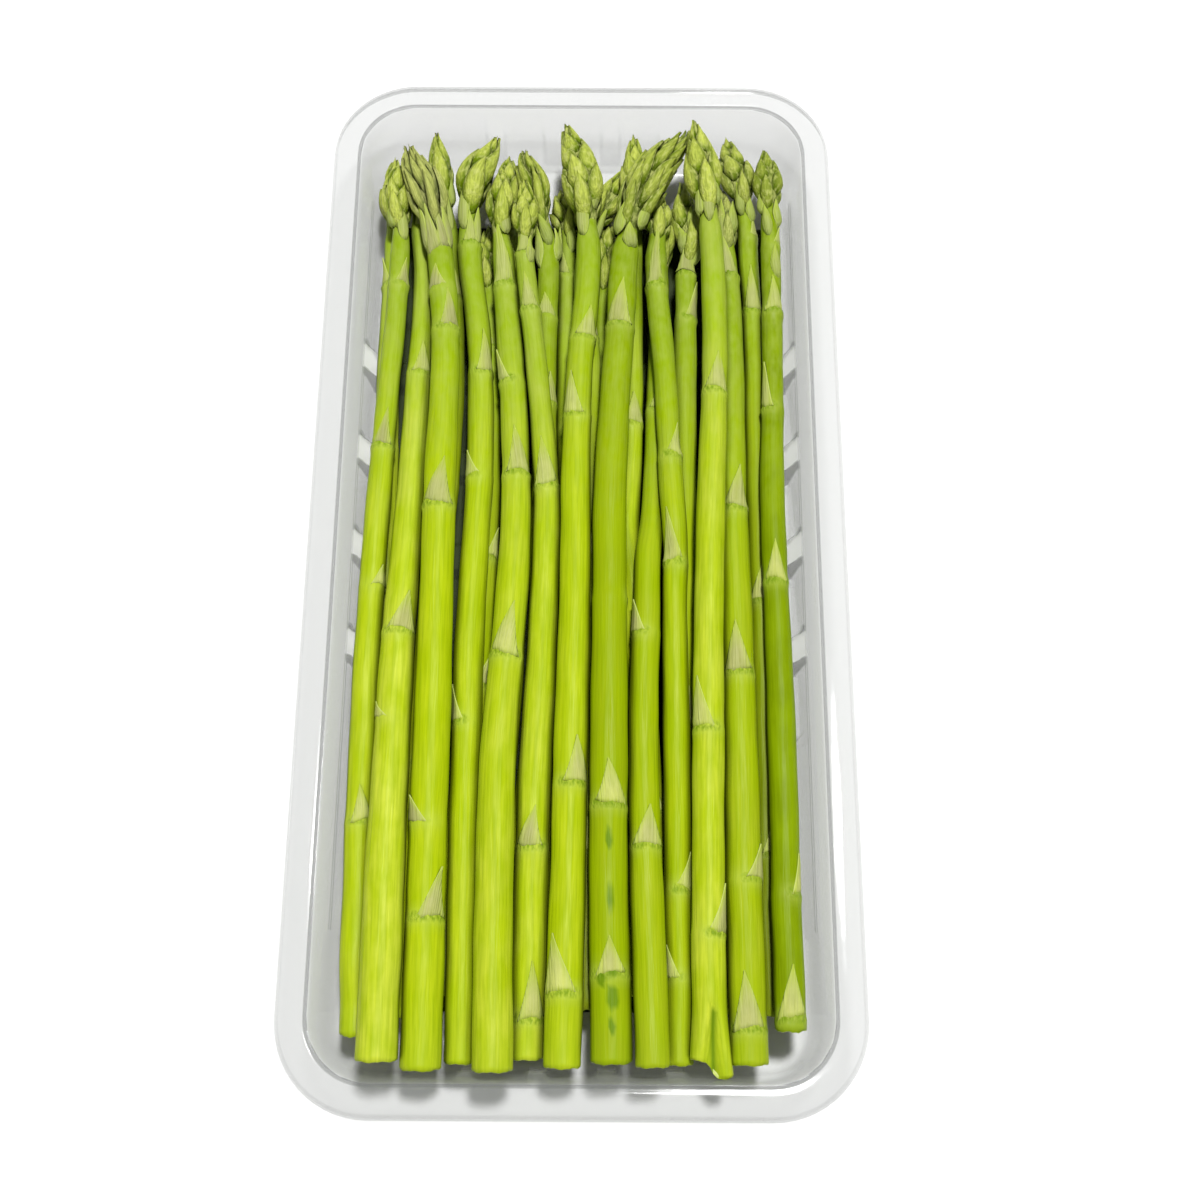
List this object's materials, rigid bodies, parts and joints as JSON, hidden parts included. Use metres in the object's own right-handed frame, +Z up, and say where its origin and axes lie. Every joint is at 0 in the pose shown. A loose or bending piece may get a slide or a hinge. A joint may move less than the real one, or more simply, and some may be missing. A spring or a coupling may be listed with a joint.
{
  "type": "bundle of asparagus",
  "caption": "Bundle of green asparagus spears lying side by side in a clear, thin-walled tray with a ribbed base.",
  "frame": {"origin": "centre of the tray's underside, on the surface that it stands on", "axes": "+X across the tray, +Y along the spears towards their buds, +Z up out of the tray"},
  "size_m": [0.1268, 0.2566, 0.0252],
  "materials": {
    "clear_plastic": "clear, thin and glossy",
    "asparagus_skin": "smooth green skin with a slight waxy sheen"
  },
  "bodies": {
    "root": {"tray": "clear_plastic", "spear_01": "asparagus_skin", "spear_02": "asparagus_skin", "spear_03": "asparagus_skin", "spear_04": "asparagus_skin", "spear_05": "asparagus_skin", "spear_06": "asparagus_skin", "spear_07": "asparagus_skin", "spear_08": "asparagus_skin", "spear_09": "asparagus_skin", "spear_10": "asparagus_skin", "spear_11": "asparagus_skin", "spear_12": "asparagus_skin", "spear_13": "asparagus_skin", "spear_14": "asparagus_skin", "spear_15": "asparagus_skin", "spear_16": "asparagus_skin", "spear_17": "asparagus_skin", "spear_18": "asparagus_skin", "spear_19": "asparagus_skin", "spear_20": "asparagus_skin", "spear_21": "asparagus_skin", "spear_22": "asparagus_skin", "spear_23": "asparagus_skin", "spear_24": "asparagus_skin", "spear_25": "asparagus_skin"}
  },
  "joints": []
}
